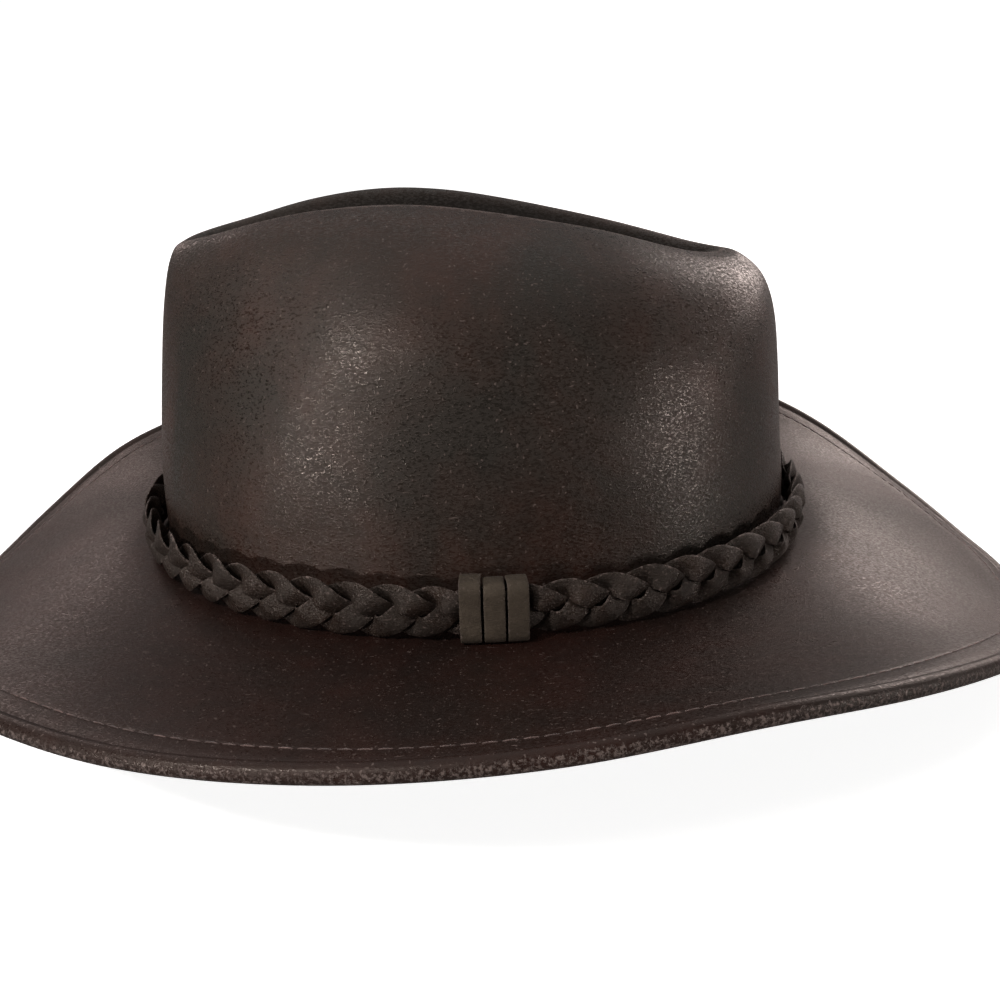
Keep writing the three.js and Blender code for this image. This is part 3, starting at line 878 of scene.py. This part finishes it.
def wrap_rings(hat, wrap):
    """Rings round one keeper strip, each ring one section of the strip."""
    sizes = hat.sizes
    table = band_table(hat)
    share = wrap["place"] * (sizes.wrap_width + sizes.wrap_gap) / table[-1][0]
    point, along, out = band_frame(hat, table, share)
    up = Vector((0, 0, 1))
    wall = sizes.wrap_wall
    low = hat.foot + wall / 2
    inner_height = 2 * (1 - KEEPER_PINCH) * hat.braid_half + 2 * sizes.rest_gap
    high = hat.foot + wall + inner_height + wrap["rise"] * sizes.lace_width + wall / 2
    half_depth = (hat.keeper_inner + hat.keeper_outer) / 2
    corner = KEEPER_CORNER
    path = []
    corners = (
        (half_depth - corner, high - corner, 0), (corner - half_depth, high - corner, 90),
        (corner - half_depth, low + corner, 180), (half_depth - corner, low + corner, 270),
    )
    for centre_out, centre_up, start in corners:
        for step in range(5):
            turn = math.radians(start + 22.5 * step)
            facing = (math.cos(turn), math.sin(turn))
            path.append((centre_out + corner * facing[0], centre_up + corner * facing[1], *facing))
    places = []
    for spot, first in enumerate(path):
        second = path[(spot + 1) % len(path)]
        gap = math.dist(first[:2], second[:2])
        parts = max(1, round(gap / KEEPER_STEP))
        for part in range(parts):
            share = part / parts
            places.append([a + (b - a) * share for a, b in zip(first, second)])
    rings = []
    for spot, (away, height, face_out, face_up) in enumerate(places):
        facing = (out * face_out + up * face_up).normalized()
        seed = Vector((wrap["place"] * 5.7 + 11, spot * 0.21, 4.2))
        shift = KEEPER_SHIFT * noise.noise(seed)
        base = Vector((point.x, point.y, 0)) + out * away + up * height
        puff = KEEPER_PUFF * noise.noise(seed * 1.7)
        rings.append([
            base + along * (edge["across"] * sizes.wrap_width / 2 + shift)
            + facing * (edge["out"] * wall / 2 + puff)
            for edge in STRIP_OUTLINE
        ])
    return rings


def stitch_places(hat, under):
    """Where each stitch lies: its middle, and its directions along, out and up."""
    points = []
    for step in range(PATH_STEPS):
        line = BrimLine(hat, 360 * step / PATH_STEPS)
        rise = -hat.cover if under else hat.cover + EDGE_FACE[STITCH_ROW]["rise"] * MM
        points.append((line.place(*line.edge(-STITCH_INWARD * MM, rise)), line))
    runs = [0.0]
    for spot in range(PATH_STEPS):
        step = points[(spot + 1) % PATH_STEPS][0] - points[spot][0]
        runs.append(runs[-1] + step.length)
    count = round(runs[-1] / hat.sizes.stitch_pitch)
    spot = 0
    for stitch in range(count):
        at = runs[-1] * (stitch + (0.5 if under else 0.0)) / count
        while runs[spot + 1] < at:
            spot += 1
        first, line = points[spot]
        second = points[(spot + 1) % PATH_STEPS][0]
        share = (at - runs[spot]) / (runs[spot + 1] - runs[spot])
        along = (second - first).normalized()
        across = line.outward * math.cos(line.tilt) + Vector((0, 0, math.sin(line.tilt)))
        up = across.cross(along).normalized()
        if up.z < 0:
            up = -up
        if under:
            up = -up
        yield first.lerp(second, share), along, up.cross(along), up


def stitch_mesh(hat):
    """One stitch along X, its ends going down into the leather."""
    sizes = hat.sizes
    rings = []
    for spot in STITCH_TABLE:
        ring = []
        for side in range(STITCH_SIDES):
            turn = math.radians(360 / STITCH_SIDES * side)
            radius = sizes.thread_radius * spot["thick"]
            ring.append(Vector((
                spot["along"] * sizes.stitch_length / 2,
                radius * math.cos(turn),
                sizes.thread_radius * (spot["up"] + STITCH_LIFT) + radius * math.sin(turn),
            )))
        rings.append(ring)
    data = bpy.data.meshes.new("one stitch")
    mesh = loft(new_mesh(), rings, caps=True)
    bmesh.ops.recalc_face_normals(mesh, faces=mesh.faces[:])
    mesh.to_mesh(data)
    mesh.free()
    return data


class BUSH_HAT_OT_crown(bpy.types.Operator):
    """Builds the crown: one leather wall with a lengthwise crease between two ridges"""

    bl_idname = "bush_hat.crown"
    bl_label = "Crown"

    def execute(self, context):
        hat = hat_form(context.scene.bush_hat_sizes)
        rings = crown_rings(hat)
        ridge = len(FOOT_TABLE) + len(WALL_LEVELS) - 1
        # Per ring: a rubbed band on the ridge that is partly a painted highlight, and below 0 a painted
        # shade down in the crease.
        worn = [
            RIDGE_RUB_AND_HIGHLIGHT * math.exp(-((place - ridge) / RIDGE_RINGS) ** 2)
            - smooth_share(place - ridge, PAINTED_SHADE_FROM, PAINTED_SHADE_TO)
            for place in range(len(rings))
        ]
        mesh = loft(new_mesh(), rings, wear=lambda place, spot: worn[place])
        bmesh.ops.remove_doubles(mesh, verts=mesh.verts[:], dist=0.02 * MM)
        bmesh.ops.recalc_face_normals(mesh, faces=mesh.faces[:])
        ripple_crown(mesh, hat)
        finish_piece(
            mesh, "crown_leather", leather_for(context.scene, "crown"),
            ["crown"], wall=hat.sizes.crown_wall,
        )
        return {"FINISHED"}


class BUSH_HAT_OT_brim(bpy.types.Operator):
    """Builds the brim with its rolled edge and the turned hem under it"""

    bl_idname = "bush_hat.brim"
    bl_label = "Brim"

    def execute(self, context):
        hat = hat_form(context.scene.bush_hat_sizes)
        sections = [brim_section(hat, 360 * column / BRIM_COLUMNS) for column in range(BRIM_COLUMNS)]
        rings = [[section[spot][0] for section in sections] for spot in range(len(sections[0]))]
        worn = [wear for point, wear in sections[0]]
        mesh = loft(new_mesh(), rings, wear=lambda place, spot: worn[place], closed=True)
        finish_piece(
            mesh, "brim_leather", leather_for(context.scene, "brim"), ["brim"]
        )
        return {"FINISHED"}


class BUSH_HAT_OT_stitching(bpy.types.Operator):
    """Sews the hem: a row of stitches on the brim's upper face and one under it"""

    bl_idname = "bush_hat.stitching"
    bl_label = "Stitching"

    def execute(self, context):
        hat = hat_form(context.scene.bush_hat_sizes)
        pattern = stitch_mesh(hat)
        thread = thread_material(context.scene)
        for name, under in (("hem_stitches_top", False), ("hem_stitches_under", True)):
            mesh = new_mesh()
            done = 0
            for place, along, across, up in stitch_places(hat, under):
                mesh.from_mesh(pattern)
                mesh.verts.ensure_lookup_table()
                turn = Matrix((along, across, up)).transposed().to_4x4()
                fresh = mesh.verts[done:]
                bmesh.ops.transform(mesh, matrix=Matrix.Translation(place) @ turn, verts=fresh)
                done = len(mesh.verts)
            finish_piece(mesh, name, thread, levels=0)
        bpy.data.meshes.remove(pattern)
        return {"FINISHED"}


class BUSH_HAT_OT_band(bpy.types.Operator):
    """Braids the band from three flat laces"""

    bl_idname = "bush_hat.band"
    bl_label = "Braided band"

    def execute(self, context):
        hat = hat_form(context.scene.bush_hat_sizes)
        material = leather_for(context.scene, "band")
        edges = [abs(spot["across"]) ** 5 for spot in LACE_OUTLINE]
        for strand, name in enumerate(STRANDS):
            rings = lace_rings(hat, strand)
            mesh = loft(new_mesh(), rings, wear=lambda place, spot: edges[spot], caps=True)
            finish_piece(mesh, name.replace("band_strand", "lace"), material, [name])
        return {"FINISHED"}


class BUSH_HAT_OT_keeper(bpy.types.Operator):
    """Builds the keeper: three leather strips wrapped round the band's ends"""

    bl_idname = "bush_hat.keeper"
    bl_label = "Keeper"

    def execute(self, context):
        hat = hat_form(context.scene.bush_hat_sizes)
        material = leather_for(context.scene, "keeper")
        edges = [abs(edge["across"]) ** 7 for edge in STRIP_OUTLINE]
        for wrap, name in zip(WRAP_TABLE, WRAPS):
            mesh = loft(
                new_mesh(), wrap_rings(hat, wrap), wear=lambda place, spot: edges[spot], closed=True
            )
            finish_piece(mesh, name.replace("wrap", "strip"), material, [name])
        return {"FINISHED"}


# Camera at the photograph's place.
CAMERA_PLACE = Vector((0.3582, 0.00842, 0.16974))
CAMERA_LENS = 40.16
CAMERA_PITCH = 0.3656
CAMERA_ROLL = -0.0285

# The floor and the sky look almost white to the camera and light the hat only dimly.
FLOOR_RADIUS, FLOOR_GLOW, FLOOR_DIM = 40.0, 0.93, (0.3, 0.3, 0.3, 1.0)
SKY_LIGHT, SKY_SEEN = 0.11, 1.05
SUN_POWER, SUN_SPREAD, SUN_TURN = 0.5, 70, (8, -18, 0)

# Studio lights: name, where each stands, what it points at, its width and height, its power and
# its colour.
LIGHTS = (
    ("front left", (0.71, -0.82, 0.9), (0.05, -0.03, 0.09), (0.1, 0.1), 7.2, (1.0, 0.97, 0.94)),
    ("low left", (0.74, -0.84, 0.1), (0.05, -0.03, 0.06), (0.12, 0.06), 3.6, (1.0, 0.95, 0.92)),
    ("top left", (0.88, -0.45, 1.05), (0.05, -0.03, 0.12), (0.16, 0.16), 2.0, (1.0, 0.97, 0.94)),
    ("front right", (0.4, 1.05, 0.16), (0.05, 0.05, 0.07), (0.12, 0.2), 3.4, (1.0, 0.95, 0.92)),
    ("back left", (-0.9, -0.8, 0.5), (0.05, -0.14, 0.03), (0.5, 0.3), 1.3, (1.0, 0.8, 0.75)),
    ("back right", (-0.95, 0.92, 0.62), (0.05, 0.14, 0.03), (0.7, 0.5), 8.0, (1.0, 0.86, 0.81)),
)


class BUSH_HAT_OT_stage(bpy.types.Operator):
    """Sets the studio: a plain pale floor, soft lights and the camera"""

    bl_idname = "bush_hat.stage"
    bl_label = "Stage"

    def execute(self, context):
        scene = context.scene
        scene.view_settings.view_transform = "Standard"
        mesh = bmesh.new()
        bmesh.ops.create_circle(mesh, cap_ends=True, segments=96, radius=FLOOR_RADIUS)
        data = bpy.data.meshes.new("studio_floor")
        mesh.to_mesh(data)
        mesh.free()
        floor = bpy.data.objects.new("studio_floor", data)
        scene.collection.objects.link(floor)
        material = bpy.data.materials.new("pale floor")
        tree = cleared_tree(material)
        pale = (*scene.bush_hat_colours.floor, 1.0)
        lit = node(tree, "ShaderNodeBsdfDiffuse", {"Color": pale}).outputs[0]
        glow = node(tree, "ShaderNodeEmission", {"Color": pale, "Strength": FLOOR_GLOW}).outputs[0]
        both = node(tree, "ShaderNodeAddShader", {0: lit, 1: glow}).outputs[0]
        dim = node(tree, "ShaderNodeBsdfDiffuse", {"Color": FLOOR_DIM}).outputs[0]
        seen = node(tree, "ShaderNodeLightPath").outputs["Is Camera Ray"]
        shown = node(tree, "ShaderNodeMixShader", {0: seen, 1: dim, 2: both})
        node(tree, "ShaderNodeOutputMaterial", {"Surface": shown.outputs[0]})
        data.materials.append(material)

        world = bpy.data.worlds.new("studio")
        tree = cleared_tree(world)
        seen = node(tree, "ShaderNodeLightPath").outputs["Is Camera Ray"]
        strength = remap(tree, seen, 0.0, 1.0, SKY_LIGHT, SKY_SEEN)
        sky = node(tree, "ShaderNodeBackground", {"Color": (1, 1, 1, 1), "Strength": strength})
        node(tree, "ShaderNodeOutputWorld", {"Surface": sky.outputs[0]})
        scene.world = world

        sun = bpy.data.lights.new("soft daylight", "SUN")
        sun.energy = SUN_POWER
        sun.angle = math.radians(SUN_SPREAD)
        sun_object = bpy.data.objects.new("soft daylight", sun)
        sun_object.rotation_euler = [math.radians(turn) for turn in SUN_TURN]
        scene.collection.objects.link(sun_object)
        for name, place, target, (width, height), power, tone in LIGHTS:
            light = bpy.data.lights.new(name, "AREA")
            light.shape = "RECTANGLE"
            light.size, light.size_y = width, height
            light.energy = power
            light.color = tone
            lamp = bpy.data.objects.new(name, light)
            lamp.location = place
            aim = Vector(target) - Vector(place)
            lamp.rotation_euler = aim.to_track_quat("-Z", "Y").to_euler()
            scene.collection.objects.link(lamp)

        lens = bpy.data.cameras.new("camera")
        lens.lens = CAMERA_LENS
        lens.sensor_width = 36.0
        lens.clip_start = 0.01
        camera = bpy.data.objects.new("camera", lens)
        cosine, sine = math.cos(CAMERA_PITCH), math.sin(CAMERA_PITCH)
        level = Vector((0, 1, 0))
        upright = Vector((-sine, 0, cosine))
        right = level * math.cos(CAMERA_ROLL) + upright * math.sin(CAMERA_ROLL)
        up = upright * math.cos(CAMERA_ROLL) - level * math.sin(CAMERA_ROLL)
        turn = Matrix((right, up, Vector((cosine, 0, sine)))).transposed().to_4x4()
        camera.matrix_world = Matrix.Translation(CAMERA_PLACE) @ turn
        scene.collection.objects.link(camera)
        scene.camera = camera
        return {"FINISHED"}


class BUSH_HAT_PT_sidebar(bpy.types.Panel):
    """Lists the hat's pieces, sizes and colours"""

    bl_idname = "BUSH_HAT_PT_sidebar"
    bl_label = "Bush Hat"
    bl_space_type = "VIEW_3D"
    bl_region_type = "UI"
    bl_category = "Bush Hat"

    def draw(self, context):
        layout = self.layout
        for operator in OPERATORS:
            layout.operator(operator.bl_idname)
        for group in (context.scene.bush_hat_sizes, context.scene.bush_hat_colours):
            box = layout.box()
            for name in group.bl_rna.properties.keys():
                if name not in ("rna_type", "name"):
                    box.prop(group, name)


OPERATORS = (
    BUSH_HAT_OT_stage, BUSH_HAT_OT_crown, BUSH_HAT_OT_brim, BUSH_HAT_OT_stitching,
    BUSH_HAT_OT_band, BUSH_HAT_OT_keeper,
)
CLASSES = (BushHatSizes, BushHatColours, *OPERATORS, BUSH_HAT_PT_sidebar)


def register():
    """Adds the classes and the scene's properties."""
    for cls in CLASSES:
        bpy.utils.register_class(cls)
    bpy.types.Scene.bush_hat_sizes = bpy.props.PointerProperty(type=BushHatSizes)
    bpy.types.Scene.bush_hat_colours = bpy.props.PointerProperty(type=BushHatColours)


def unregister():
    """Removes the classes and the scene's properties."""
    del bpy.types.Scene.bush_hat_colours
    del bpy.types.Scene.bush_hat_sizes
    for cls in reversed(CLASSES):
        bpy.utils.unregister_class(cls)


def main():
    """Builds the hat and its studio."""
    register()
    bpy.ops.bush_hat.stage()
    bpy.ops.bush_hat.crown()
    bpy.ops.bush_hat.brim()
    bpy.ops.bush_hat.stitching()
    bpy.ops.bush_hat.band()
    bpy.ops.bush_hat.keeper()


if __name__ == "__main__":
    main()
